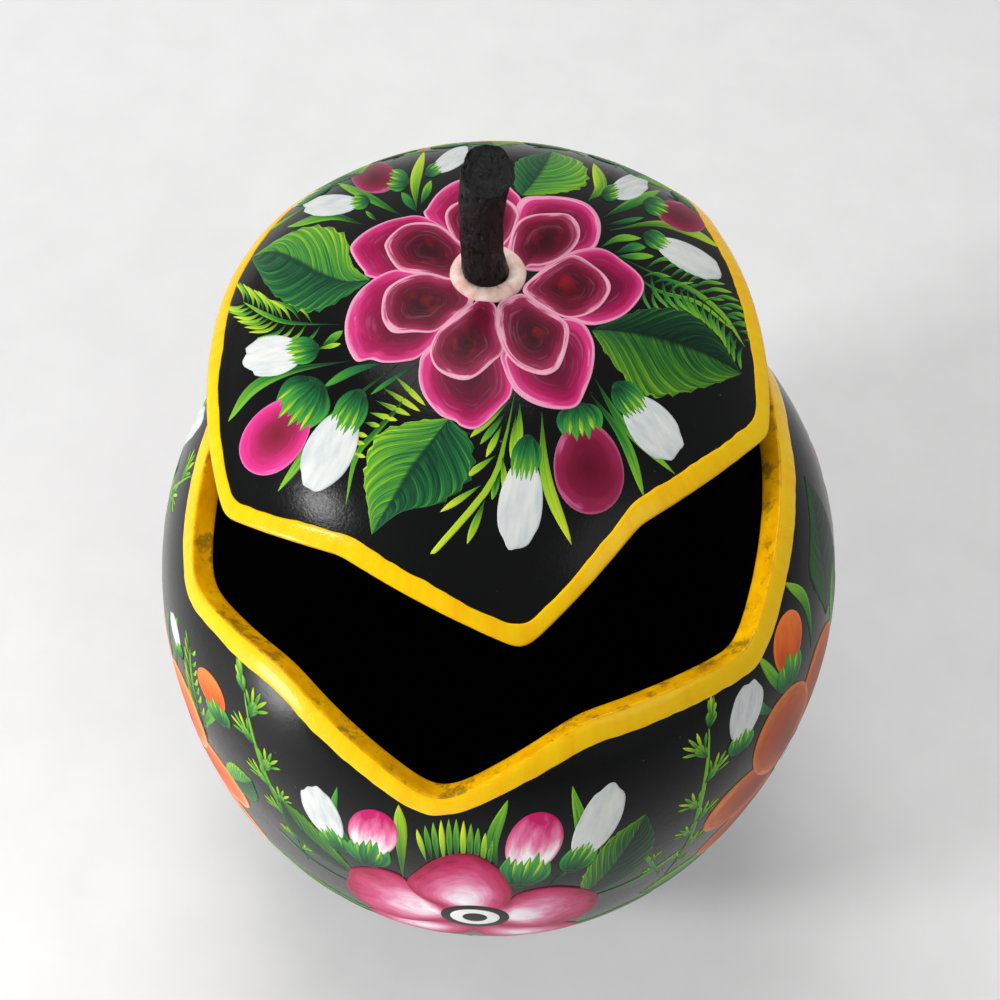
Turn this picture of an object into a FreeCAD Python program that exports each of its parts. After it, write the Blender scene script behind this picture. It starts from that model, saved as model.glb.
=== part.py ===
import FreeCAD, Part
import bisect
import math
import os

# Carved gourd box, in millimetres, +Z up, front of the box towards -Y.
# One dried gourd is sawn in two along a zigzag of straight cuts. The lower part is the bowl,
# the upper part with its stem is the lid. The lid lies turned, pushed back and tipped on the rim.
# The origin is the middle of the flat spot that the bowl stands on.

# The gourd's own form, measured from its widest circle
equator_radius = 85.0
crown_rise = 88.8            # from the widest circle up to the crown
crown_fullness_share = 2.59  # 2 is an ellipse, more is fuller in the shoulder
base_fullness_share = 2.32
stand_height = 110.5         # from the table up to the widest circle: the bottom is rubbed flat here
rubbed_off = 3.0             # height of the round bottom that was rubbed away
base_drop = stand_height + rubbed_off
wall = 5.0                   # thickness of the dried skin, along the ray from the gourd's middle

# The zigzag: corner after corner round the gourd, azimuth 0 at the front and 90 at +X
cut_low_height = 54.2        # height of a usual low corner above the widest circle
zigzag_depth = 13.0          # height of a usual high corner above a usual low one
corner_azimuths = (-64.7, -39.6, -5.6, 18.7, 55.8, 108.9, 133.9, 174.4, 207.2, 245.9)
corner_height_shares = (0.02, 0.74, -0.02, 1.16, 0.84, 1.24, 0.04, 1.01, 0.31, 0.9)
saw_gap = 1.5                # height that the saw and the sanding took away between the halves

# Rim paint: a thick yellow coat over the sawn face and a stripe of the outside
rim_paint = 0.5
bowl_stripe_drop = 5.0       # height of the stripe under the bowl's edge
lid_stripe_rise = 4.2        # height of the stripe over the lid's edge

# How the lid lies on the bowl
lid_turn = 15.3              # degrees, to the left seen from the front
lid_tip_back = 6.5           # degrees, the crown leans away from the front
lid_lean_side = 2.8          # degrees, the crown leans to the left
lid_shift_left = 2.8
lid_shift_back = 22.5
seat_clearance = 0.6         # height of the air left under the lid where it would touch first

# Stem and the collar painted round its foot, on the crown
stem_length = 33.0
stem_foot_diameter = 11.4
stem_waist_diameter = 9.8
stem_head_diameter = 11.2
stem_root = 4.0              # how far the stem's axis starts under the crown
stem_offset_left = 2.2       # the stem grows a little beside the crown's middle
stem_bend = 1.6              # sideways bow of the stem at its waist
stem_head_slope = 24.0       # degrees, the cut across the head falls towards the front
collar_diameter = 17.4
collar_height = 2.0

# Making
profile_steps = 26
overrun = 30.0               # how far cutting blocks reach past the gourd
settle_steps = 1200          # samples round each rim when the lid is lowered onto the bowl
settle_shares = (0, 0.25, 0.5, 0.75, 1)  # where on the rim's width each sample is taken
settle_halvings = 12

V = FreeCAD.Vector
MIDDLE = V(0, 0, stand_height)


def outline_radius(height):
    """Radius of the skin's outside at a height over the widest circle."""
    rise, power = (crown_rise, crown_fullness_share) if height >= 0 else (base_drop, base_fullness_share)
    left = max(0.0, 1 - (abs(height) / rise) ** power)
    return equator_radius * left ** (1 / power)


def outline_point(lift, angle):
    """Point (radius, height) of the outside pushed out by lift, along a ray at an angle from the crown."""
    side, up = abs(math.sin(angle)), math.cos(angle)
    rise, power = (crown_rise, crown_fullness_share) if up >= 0 else (base_drop, base_fullness_share)
    reach = ((side / equator_radius) ** power + (abs(up) / rise) ** power) ** (-1 / power) + lift
    return reach * side, reach * up


def outline_angles(lowest):
    """Ray angles from the crown down to the one whose outside point lies at the lowest height."""
    last = math.atan2(outline_radius(lowest), lowest) if lowest > -base_drop else math.pi
    return [last * i / profile_steps for i in range(profile_steps + 1)]


def spline(points):
    curve = Part.BSplineCurve()
    curve.interpolate([V(r, 0, z) for r, z in points])
    return curve.toShape()


def line(a, b):
    return Part.makeLine(V(a[0], 0, a[1]), V(b[0], 0, b[1]))


def turned(edges):
    face = Part.Face(Part.Wire(edges))
    return face.revolve(V(0, 0, 0), V(0, 0, 1), 360)


def hollow_gourd(lift):
    """The whole skin as a hollow body, its outside pushed out by lift, flat at the bottom."""
    outer = [outline_point(lift, a) for a in outline_angles(-stand_height)]
    outer[0] = (0, outer[0][1])
    inner = [outline_point(-wall, a) for a in outline_angles(-base_drop)]
    inner[0], inner[-1] = (0, inner[0][1]), (0, inner[-1][1])
    floor = (0, outer[-1][1])
    body = turned([line(floor, outer[-1]), spline(outer[::-1]), line(outer[0], inner[0]),
                   spline(inner), line(inner[-1], floor)])
    return body if body.Volume > 0 else body.reversed()


def full_gourd():
    """The gourd's outside as one full body, to seat the stem and its collar on."""
    outer = [outline_point(0, a) for a in outline_angles(-stand_height)]
    outer[0] = (0, outer[0][1])
    floor = (0, outer[-1][1])
    body = turned([line(floor, outer[-1]), spline(outer[::-1]), line(outer[0], floor)])
    return body if body.Volume > 0 else body.reversed()


def corner_points(rise):
    """The zigzag's corners on the outside, the whole line raised by rise."""
    points = []
    for azimuth, share in zip(corner_azimuths, corner_height_shares):
        height = cut_low_height + share * zigzag_depth + rise
        radius, turn = outline_radius(height), math.radians(azimuth)
        points.append(V(radius * math.sin(turn), -radius * math.cos(turn), height))
    return points


def block_above(rise):
    """Everything over the zigzag raised by rise: flat cuts from the gourd's middle through its corners."""
    far = [p * (1 + overrun / p.Length) for p in corner_points(rise)]
    top = [V(p.x, p.y, crown_rise + overrun) for p in far]
    count = len(far)
    faces = []
    for i in range(count):
        j = (i + 1) % count
        faces.append(Part.Face(Part.makePolygon([V(0, 0, 0), far[i], far[j], V(0, 0, 0)])))
        faces.append(Part.Face(Part.makePolygon([far[i], far[j], top[j], top[i], far[i]])))
    faces.append(Part.Face(Part.makePolygon(top + [top[0]])))
    block = Part.makeSolid(Part.makeShell(faces))
    return block if block.Volume > 0 else block.reversed()


def one_solid(shape, name):
    """The single solid of a cut's result; crumbs from touching faces are left out."""
    solids = sorted(shape.Solids, key=lambda s: s.Volume)
    print(name, "solids", len(shape.Solids), "volume", round(solids[-1].Volume), "valid", solids[-1].isValid())
    return solids[-1]


# The lid's place. Points are turned about Z, leaned about Y, tipped about X, then shifted.
TURN, LEAN, TIP = (math.radians(a) for a in (lid_turn, -lid_lean_side, -lid_tip_back))


def lid_to_bowl(p, raise_by):
    x, y, z = p
    x, y = x * math.cos(TURN) - y * math.sin(TURN), x * math.sin(TURN) + y * math.cos(TURN)
    x, z = x * math.cos(LEAN) + z * math.sin(LEAN), -x * math.sin(LEAN) + z * math.cos(LEAN)
    y, z = y * math.cos(TIP) - z * math.sin(TIP), y * math.sin(TIP) + z * math.cos(TIP)
    return x - lid_shift_left, y + lid_shift_back, z + raise_by


def bowl_to_lid(p, raise_by):
    x, y, z = p[0] + lid_shift_left, p[1] - lid_shift_back, p[2] - raise_by
    y, z = y * math.cos(TIP) + z * math.sin(TIP), -y * math.sin(TIP) + z * math.cos(TIP)
    x, z = x * math.cos(LEAN) - z * math.sin(LEAN), x * math.sin(LEAN) + z * math.cos(LEAN)
    return x * math.cos(TURN) + y * math.sin(TURN), -x * math.sin(TURN) + y * math.cos(TURN), z


class Rim:
    """One half's cut line with its paint, for asking whether a point lies in that half's wall."""

    def __init__(self, rise, above):
        self.corners = corner_points(rise)
        self.above = above
        self.azimuths = [math.radians(a - corner_azimuths[0]) for a in corner_azimuths]
        self.normals = []
        for i, p in enumerate(self.corners):
            n = p.cross(self.corners[(i + 1) % len(self.corners)])
            n.normalize()
            self.normals.append(n if n.z > 0 else n * -1)

    def sector(self, x, y):
        turn = (math.atan2(x, -y) - math.radians(corner_azimuths[0])) % (2 * math.pi)
        return self.normals[bisect.bisect_right(self.azimuths, turn) - 1]

    def holds(self, p):
        x, y, z = p
        length = math.sqrt(x * x + y * y + z * z)
        radius, height = outline_point(0, math.atan2(math.hypot(x, y), z))
        reach = math.hypot(radius, height)
        if length > reach + rim_paint or length < reach - wall:
            return False
        n = self.sector(x, y)
        side = n.x * x + n.y * y + n.z * z
        return side > -rim_paint if self.above else side < rim_paint

    def edge_points(self):
        """Points round the painted face, from its outer edge to its inner one."""
        points = []
        turns = [2 * math.pi * k / settle_steps for k in range(settle_steps)]
        turns += [math.radians(azimuth) for azimuth in corner_azimuths]
        for turn in turns:
            n = self.sector(math.sin(turn), -math.cos(turn))
            up = -(n.x * math.sin(turn) - n.y * math.cos(turn)) / n.z
            radius, height = outline_point(0, math.atan2(1, up))
            reach = math.hypot(radius, height)
            for share in settle_shares:
                scale = (reach + rim_paint - share * (wall + rim_paint)) / reach
                push = -rim_paint if self.above else rim_paint
                points.append((radius * scale * math.sin(turn) + n.x * push,
                               -radius * scale * math.cos(turn) + n.y * push,
                               height * scale + n.z * push))
        return points


def resting_raise():
    """The lid comes straight down and stops where one half's rim would first enter the other half."""
    bowl, lid = Rim(0, False), Rim(saw_gap, True)
    bowl_edge, lid_edge = bowl.edge_points(), lid.edge_points()

    def touches(raise_by):
        return (any(bowl.holds(lid_to_bowl(p, raise_by)) for p in lid_edge)
                or any(lid.holds(bowl_to_lid(p, raise_by)) for p in bowl_edge))

    high = crown_rise
    step = zigzag_depth / settle_halvings
    while not touches(high - step) and high > -zigzag_depth:
        high -= step
    low = high - step
    for _ in range(settle_halvings):
        middle = (low + high) / 2
        if touches(middle):
            low = middle
        else:
            high = middle
    return high + seat_clearance


def placed_lid(shape, raise_by):
    moved = shape.copy()
    moved.rotate(V(0, 0, 0), V(0, 0, 1), math.degrees(TURN))
    moved.rotate(V(0, 0, 0), V(0, 1, 0), math.degrees(LEAN))
    moved.rotate(V(0, 0, 0), V(1, 0, 0), math.degrees(TIP))
    moved.translate(V(-lid_shift_left, lid_shift_back, raise_by))
    return moved


def stem_body():
    """A bowed, waisted stem, cut across its head and seated on the crown."""
    diameters = (stem_foot_diameter, stem_waist_diameter, stem_waist_diameter, stem_head_diameter,
                 stem_head_diameter)
    shares = (0, 0.3, 0.55, 0.9, 1.15)
    wires = []
    for diameter, share in zip(diameters, shares):
        bow = stem_bend * math.sin(math.pi * min(share, 1))
        centre = V(-stem_offset_left - bow, 0, crown_rise - stem_root + share * (stem_length + stem_root))
        wires.append(Part.Wire(Part.makeCircle(diameter / 2, centre, V(0, 0, 1))))
    body = Part.makeLoft(wires, True)
    head = Part.makeBox(2 * stem_head_diameter, 2 * stem_head_diameter, overrun)
    head.translate(V(-stem_offset_left - stem_head_diameter, -stem_head_diameter, crown_rise + stem_length))
    head.rotate(V(-stem_offset_left, stem_head_diameter / 2, crown_rise + stem_length),
                V(1, 0, 0), stem_head_slope)
    return body.cut(head)


def collar_body():
    """The raised painted ring round the stem's foot, half an ellipse over a straight skirt."""
    inner, outer = stem_waist_diameter / 2, collar_diameter / 2
    middle, half = (inner + outer) / 2, (outer - inner) / 2
    turns = [math.pi * i / profile_steps for i in range(profile_steps + 1)]
    crest = [(middle + half * math.cos(t), collar_height * math.sin(t)) for t in turns]
    low_outer, low_inner = (outer, -collar_height), (inner, -collar_height)
    crest[0], crest[-1] = (outer, 0), (inner, 0)
    ring = turned([spline(crest), line(crest[-1], low_inner), line(low_inner, low_outer),
                   line(low_outer, crest[0])])
    ring.translate(V(-stem_offset_left, 0, 0))
    return ring if ring.Volume > 0 else ring.reversed()


skin = hollow_gourd(0)
painted_skin = hollow_gourd(rim_paint)
core = full_gourd()
over_bowl = block_above(0)
over_lid_edge = block_above(saw_gap)

bowl_shell = skin.cut(over_bowl)
bowl_band = painted_skin.common(block_above(-bowl_stripe_drop)).cut(block_above(rim_paint)).cut(bowl_shell)

lid_shell = skin.common(over_lid_edge)
lid_band_zone = painted_skin.common(block_above(saw_gap - rim_paint))
lid_band = lid_band_zone.cut(block_above(saw_gap + lid_stripe_rise)).cut(lid_shell)

stem = stem_body().cut(core)
collar_seat = V(0, 0, outline_point(0, math.atan2(stem_offset_left, crown_rise))[1])
collar = collar_body()
collar.translate(collar_seat)
collar = collar.cut(core).cut(stem)

lid_raise = resting_raise()
print("the lid lies", round(lid_raise, 3), "mm over its closed height")

nodes = {
    "bowl_shell": bowl_shell,
    "bowl_rim_band": bowl_band,
    "lid_shell": placed_lid(lid_shell, lid_raise),
    "lid_rim_band": placed_lid(lid_band, lid_raise),
    "stem": placed_lid(stem, lid_raise),
    "stem_collar": placed_lid(collar, lid_raise),
}

os.makedirs("parts", exist_ok=True)
for name, shape in nodes.items():
    solid = one_solid(shape, name)
    solid.translate(MIDDLE)
    solid.exportStep("parts/" + name + ".step")
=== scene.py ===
import math
import bpy
import numpy as np
from mathutils import Matrix, Vector, noise

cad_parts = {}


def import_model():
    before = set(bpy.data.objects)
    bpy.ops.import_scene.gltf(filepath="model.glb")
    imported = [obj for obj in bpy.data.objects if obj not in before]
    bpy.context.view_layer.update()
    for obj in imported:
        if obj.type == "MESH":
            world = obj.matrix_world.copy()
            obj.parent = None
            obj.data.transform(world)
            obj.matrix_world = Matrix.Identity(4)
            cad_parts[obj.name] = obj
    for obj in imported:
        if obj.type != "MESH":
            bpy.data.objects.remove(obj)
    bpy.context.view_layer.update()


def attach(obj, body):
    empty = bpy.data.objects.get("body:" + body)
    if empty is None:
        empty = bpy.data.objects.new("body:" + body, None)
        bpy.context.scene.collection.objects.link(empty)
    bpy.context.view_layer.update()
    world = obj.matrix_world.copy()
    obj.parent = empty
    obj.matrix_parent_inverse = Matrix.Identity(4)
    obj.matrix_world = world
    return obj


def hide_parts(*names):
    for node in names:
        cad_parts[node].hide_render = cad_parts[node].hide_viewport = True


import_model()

MM = 0.001
ROUND = 2 * math.pi

# The gourd's form in millimetres about the middle of its widest circle, as the solids have it.
# The skin is drawn inside the solids' outside, by SKIN_IN and its waves, to leave room for the paint.
EQUATOR = 85.0
CROWN_RISE = 88.8
BASE_DROP = 113.5
CROWN_POWER = 2.59
BASE_POWER = 2.32
STAND = 110.5
WALL = 5.0
SKIN_IN = 0.35
MIDDLE = np.array([0.0, 0.0, STAND])

# The skin's slow waves: how fast each runs along x, y and z, and where it starts
SKIN_WAVES = [((3.1, 0.0, 2.0), 0.7), ((0.0, 3.7, -1.6), 2.1), ((2.3, -2.9, 0.0), 4.0)]
WAVE_DEPTH = 0.07

# The zigzag's corners: azimuths from the front, and heights over CUT_LOW as shares of CUT_DEPTH
CUT_LOW = 54.2
CUT_DEPTH = 13.0
CORNER_AZIMUTHS = np.radians([-64.7, -39.6, -5.6, 18.7, 55.8, 108.9, 133.9, 174.4, 207.2, 245.9])
CORNER_SHARES = np.array([0.02, 0.74, -0.16, 1.16, 0.84, 1.24, 0.04, 1.01, 0.31, 0.9])
CUT_STEPS = 2880

# What differs between the halves: how high the saw left the edge, how far its corners are rounded,
# the width of the yellow stripe, and the way from the edge into the half as a sign of the polar angle
SAWN_RISE = {"bowl": 0.0, "lid": 1.5}
SOFTNESS = {"bowl": math.radians(2.8), "lid": math.radians(1.5)}
STRIPE = {"bowl": 5.0, "lid": 4.2}
INTO = {"bowl": 1, "lid": -1}

# How the lid lies on the bowl
LID_TURN = math.radians(15.3)
LID_LEAN = math.radians(-2.8)
LID_TIP = math.radians(-6.5)
LID_SHIFT = np.array([-2.8, 22.5, 6.675])

# The camera, about the gourd's middle, in millimetres; its picture is 1000 pixels wide
EYE = np.array([0.0, -170.0, 366.95])
EYE_RIGHT = np.array([0.9941, 0.0975, 0.0482])
EYE_UP = np.array([-0.1087, 0.8757, 0.4704])
EYE_FORWARD = np.cross(EYE_UP, EYE_RIGHT)
PICTURE = 1000
FOCAL_PIXELS = 1528.9
SENSOR = 36.0
HALVINGS = 40


# The surface

def reach(polar):
    """Distance from the middle to the outside, along a ray at a polar angle from the crown."""
    side, up = np.abs(np.sin(polar)), np.cos(polar)
    rise = np.where(up >= 0, CROWN_RISE, BASE_DROP)
    power = np.where(up >= 0, CROWN_POWER, BASE_POWER)
    return ((side / EQUATOR) ** power + (np.abs(up) / rise) ** power) ** (-1 / power)


def on_skin(d, lift):
    """Points in millimetres over the directions d, lifted off the unevenly grown skin."""
    d = d / np.linalg.norm(d, axis=-1, keepdims=True)
    wave = sum(np.sin(d @ np.array(rates) + start) for rates, start in SKIN_WAVES)
    inwards = SKIN_IN + WAVE_DEPTH * (1 - wave / len(SKIN_WAVES))
    length = reach(np.arccos(np.clip(d[..., 2], -1, 1))) - inwards + lift
    return d * length[..., None]


def direction(azimuth, polar):
    """Unit vectors; azimuth 0 is the front and 90 degrees the right."""
    side = np.sin(polar)
    return np.stack([side * np.sin(azimuth), -side * np.cos(azimuth), np.cos(polar)], axis=-1)


def turn_matrix(axis, angle):
    return np.array(Matrix.Rotation(angle, 3, axis))


LID_MATRIX = turn_matrix("X", LID_TIP) @ turn_matrix("Y", LID_LEAN) @ turn_matrix("Z", LID_TURN)


def placed(points, body):
    """Millimetres about the middle to metres in the frame, with the lid's lie for what is on the lid."""
    if body == "lid":
        points = points @ LID_MATRIX.T + LID_SHIFT
    return (points + MIDDLE) * MM


def corner_points(rise):
    """The zigzag's corners on the outside, the whole line raised by rise."""
    height = CUT_LOW + CORNER_SHARES * CUT_DEPTH + rise
    radius = EQUATOR * (1 - (height / CROWN_RISE) ** CROWN_POWER) ** (1 / CROWN_POWER)
    return np.stack([radius * np.sin(CORNER_AZIMUTHS), -radius * np.cos(CORNER_AZIMUTHS), height], axis=-1)


def cut_polar(azimuths, body):
    """Polar angle of a half's sawn edge at each azimuth, its corners a little rounded."""
    corners = corner_points(SAWN_RISE[body])
    normals = np.cross(corners, np.roll(corners, -1, axis=0))
    fine = np.linspace(0, ROUND, CUT_STEPS, endpoint=False)
    from_first = np.mod(fine - CORNER_AZIMUTHS[0], ROUND)
    n = normals[np.searchsorted(CORNER_AZIMUTHS - CORNER_AZIMUTHS[0], from_first, side="right") - 1]
    sharp = np.arctan2(1, -(n[:, 0] * np.sin(fine) - n[:, 1] * np.cos(fine)) / n[:, 2])
    kernel = np.exp(-(np.minimum(fine, ROUND - fine) / SOFTNESS[body]) ** 2 / 2)
    kernel /= kernel.sum()
    soft = np.real(np.fft.ifft(np.fft.fft(sharp) * np.fft.fft(kernel)))
    return np.interp(np.mod(azimuths, ROUND), fine, soft, period=ROUND)


# Seeing a place of the picture on the lid, and laying a flat drawing on the gourd

def seen_on_lid(places):
    """Directions on the lid of places in the picture, by rays from the camera onto the lid's form."""
    right = (places[..., :1] - PICTURE / 2) / FOCAL_PIXELS
    down = (places[..., 1:] - PICTURE / 2) / FOCAL_PIXELS
    rays = EYE_FORWARD + EYE_RIGHT * right - EYE_UP * down
    rays = (rays / np.linalg.norm(rays, axis=-1, keepdims=True)) @ LID_MATRIX
    start = (EYE - LID_SHIFT) @ LID_MATRIX
    nearest = -(rays @ start)
    low, high = nearest - 2 * EQUATOR, nearest
    for _ in range(HALVINGS):
        half = (low + high) / 2
        p = start + rays * half[..., None]
        length = np.linalg.norm(p, axis=-1)
        outside = length > reach(np.arccos(p[..., 2] / length))
        low, high = np.where(outside, half, low), np.where(outside, high, half)
    p = start + rays * high[..., None]
    return p / np.linalg.norm(p, axis=-1, keepdims=True)


def laid_round(azimuth, polar):
    """A function that lays a drawing in millimetres, x to the right and y up, round a spot of the gourd."""
    azimuth, polar = math.radians(azimuth), math.radians(polar)
    centre = direction(azimuth, polar)
    right = np.array([math.cos(azimuth), math.sin(azimuth), 0])
    up = np.cross(centre, right)

    def lay(places):
        return centre + (places[..., :1] * right + places[..., 1:] * up) / EQUATOR
    return lay


# Curves, faces and pieces

def through(points, count, closed=False):
    """A smooth curve through given points, sampled evenly in its parameter."""
    p = np.array(points, float)
    if len(p) == 2:
        p = np.array([p[0], (p[0] + p[1]) / 2, p[1]])
    n = len(p)
    if closed:
        t = np.linspace(0, n, count, endpoint=False)
        index = np.floor(t).astype(int)
        a, b, c, d = (p[(index + k) % n] for k in (-1, 0, 1, 2))
    else:
        p = np.concatenate([[2 * p[0] - p[1]], p, [2 * p[-1] - p[-2]]])
        t = np.linspace(0, n - 1, count)
        index = np.minimum(np.floor(t).astype(int), n - 2)
        a, b, c, d = (p[index + k] for k in range(4))
    u = (t - index)[:, None]
    squared, cubed = (2 * a - 5 * b + 4 * c - d) * u ** 2, (3 * b - a - 3 * c + d) * u ** 3
    return 0.5 * (2 * b + (c - a) * u + squared + cubed)


# The order of a face's corners, which sets the side it looks to
AS_DRAWN = (0, 1, 2, 3)
BACKWARDS = (3, 2, 1, 0)
RINGS_UP = (1, 2, 3, 0)
RINGS_DOWN = (0, 3, 2, 1)


def ring_faces(rows, columns, order=AS_DRAWN, closed=False):
    """Faces between rings of points, also from the last ring to the first where the form is closed."""
    faces = []
    for r in range(rows if closed else rows - 1):
        low, high = r * columns, (r + 1) % rows * columns
        for c in range(columns):
            d = (c + 1) % columns
            corners = (low + c, low + d, high + d, high + c)
            faces.append([corners[k] for k in order])
    return faces


def made_piece(name, points, faces, material, body, marks=None, node=None):
    """A piece with its material, that rides on a body and stands for a node where one is named."""
    mesh = bpy.data.meshes.new(name)
    mesh.from_pydata(placed(points, body).tolist(), [], faces)
    for mark, values in (marks or {}).items():
        layer = mesh.attributes.new(mark, "FLOAT", "POINT")
        layer.data.foreach_set("value", values.astype(np.float32))
    mesh.shade_smooth()
    mesh.materials.append(material)
    piece = bpy.data.objects.new(name, mesh)
    bpy.context.scene.collection.objects.link(piece)
    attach(piece, body)
    if node:
        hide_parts(node)


# The coats of paint. Each point has four marks for its look: how far it is from the shape's border,
# its place along and across the shape, and the shape's own random tint.

MARKS = ("edge", "along", "across", "tint")
UNDERSIDE = -0.12
BORDER_RISE = 0.25
ON_BORDER = 0.01
BAND_LAP = 1.0
PETAL_THICK, LEAF_THICK, STROKE_THICK, EYE_THICK = 0.06, 0.06, 0.05, 0.04
FIRST_RING = 0.975
RING_CROWDING = 1.4
LEAF_ROWS, LOBES, LOBE_DEPTH = 30, 11, 0.09
LEAF_WIDTHS = np.linspace(0, 0.88, 6)


class Coat:
    """Painted shapes of one colour, gathered into one thin closed mesh over the skin."""

    def __init__(self, body, material, seed):
        self.body, self.material, self.lay = body, material, None
        self.random = np.random.default_rng(seed)
        self.points, self.marks, self.faces = [], [], []
        self.count = 0

    @property
    def flips(self):
        """True where the drawing's y runs down, as in a picture."""
        return self.lay is seen_on_lid

    def add(self, flat, rise, marks, faces, border, lift, thick):
        """One shape: flat places, how far each rises, its marks, its faces and its border loop."""
        d = self.kept_off_band(self.lay(flat))
        tint = np.full(len(flat), self.random.random())
        self.points += [on_skin(d, lift - thick + thick * rise), on_skin(d, UNDERSIDE)]
        self.marks += [np.column_stack([marks, tint])] * 2
        top, low = self.count, self.count + len(flat)
        for face in faces:
            self.faces.append([top + i for i in face])
            self.faces.append([low + i for i in reversed(face)])
        for i, j in zip(border, np.roll(border, -1)):
            self.faces.append([top + j, top + i, low + i, low + j])
        self.count += 2 * len(flat)

    def kept_off_band(self, d):
        """Directions that would run past the rim end under its yellow stripe instead."""
        azimuth = np.arctan2(d[:, 0], -d[:, 1])
        polar = np.arccos(d[:, 2] / np.linalg.norm(d, axis=1))
        limit = cut_polar(azimuth, self.body) + INTO[self.body] * (STRIPE[self.body] - BAND_LAP) / EQUATOR
        inside = np.minimum if self.body == "lid" else np.maximum
        return direction(azimuth, inside(polar, limit))

    def blob(self, outline, focus, base, tip, lift, rings, count, thick=PETAL_THICK):
        """A rounded shape drawn by its outline, with strokes that follow it towards a focus."""
        edge = through(outline, count, closed=True)
        x, y = edge.T
        if (np.sum(x * np.roll(y, -1) - y * np.roll(x, -1)) < 0) != self.flips:
            edge = edge[::-1]
        focus, base, tip = (np.array(p, float) for p in (focus, base, tip))
        scales = 1 - np.linspace(0, 1, rings + 1)[:-1] ** RING_CROWDING
        scales[1] = FIRST_RING
        flat = np.concatenate([focus + (edge - focus) * s for s in scales] + [[focus]])
        depth = np.append(np.repeat(1 - scales, count), 1.0)
        axis = tip - base
        along = (flat - base) @ axis / (axis @ axis)
        across = (flat - base) @ np.array([-axis[1], axis[0]]) / (axis @ axis)
        faces = ring_faces(rings, count)
        last = (rings - 1) * count
        faces += [(last + i, last + (i + 1) % count, rings * count) for i in range(count)]
        rise = np.where(depth > 0, 1.0, BORDER_RISE)
        self.add(flat, rise, np.column_stack([depth, along, across]), faces, np.arange(count), lift, thick)

    def sheet(self, grid, lift, thick, steep, across_way=1):
        """A grid of places, rows along the shape and columns across it; its ends rise steeply."""
        rows, columns = grid.shape[:2]
        s, t = np.linspace(0, 1, rows), np.linspace(-1, 1, columns)
        edge = np.minimum((1 - np.abs(t))[None], np.minimum(s, 1 - s)[:, None] * steep).ravel()
        marks = np.column_stack([edge, np.repeat(s, columns), np.tile(t, rows) * across_way])
        index = np.arange(rows * columns).reshape(rows, columns)
        order = -1 if self.flips else 1
        faces = [(index[r, c], index[r, c + 1], index[r + 1, c + 1], index[r + 1, c])[::order]
                 for r in range(rows - 1) for c in range(columns - 1)]
        border = np.concatenate([index[0, :-1], index[:-1, -1], index[-1, :0:-1], index[:0:-1, 0]])[::order]
        rise = np.where(edge > ON_BORDER, 1.0, BORDER_RISE)
        self.add(grid.reshape(-1, 2), rise, marks, faces, border, lift, thick)

    def stroke(self, spine, width, lift, fullest=0.6, rows=16, columns=5):
        """A brush stroke along a spine, widest at a share of its length, pointed at its ends."""
        line = through(spine, rows)
        tangent = np.gradient(line, axis=0)
        tangent /= np.linalg.norm(tangent, axis=1, keepdims=True)
        side = np.column_stack([tangent[:, 1], -tangent[:, 0]])
        s = np.linspace(0, 1, rows) ** (math.log(0.5) / math.log(fullest))
        half = np.maximum(width / 2 * np.sin(math.pi * s) ** 0.8, width * 0.02)
        grid = line[:, None] + side[:, None] * (half[:, None] * np.linspace(-1, 1, columns))[..., None]
        self.sheet(grid, lift, STROKE_THICK, steep=6)

    def leaf(self, middle, side_a, side_b, lift):
        """A leaf from its midrib and its two sides, the sides scalloped by the veins."""
        rib, a, b = (through(p, LEAF_ROWS) for p in (middle, side_a, side_b))
        s = np.linspace(0, 1, LEAF_ROWS)
        scallop = 1 - LOBE_DEPTH * (0.5 + 0.5 * np.cos(ROUND * LOBES * s))[:, None]
        columns = [rib + (a - rib) * w for w in (scallop, *LEAF_WIDTHS[::-1])]
        columns += [rib + (b - rib) * w for w in (*LEAF_WIDTHS[1:], scallop)]
        grid = np.stack(columns, axis=1)
        k = LEAF_ROWS // 2
        out, on = a[k] - rib[k], rib[k + 1] - rib[k]
        if (out[0] * on[1] - out[1] * on[0] > 0) != self.flips:
            self.sheet(grid[:, ::-1], lift, LEAF_THICK, steep=8, across_way=-1)
        else:
            self.sheet(grid, lift, LEAF_THICK, steep=8)

    def build(self, name):
        marks = dict(zip(MARKS, np.concatenate(self.marks).T))
        made_piece(name, np.concatenate(self.points), self.faces, self.material, self.body, marks)


# Materials. Colours are written as sRGB and turned linear.

PAINT_IOR = 1.32
TINT_SHIFT = 37.0


def colour(code):
    parts = [int(code[i:i + 2], 16) / 255 for i in (0, 2, 4)]
    return tuple(p / 12.92 if p <= 0.04045 else ((p + 0.055) / 1.055) ** 2.4 for p in parts) + (1.0,)


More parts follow.
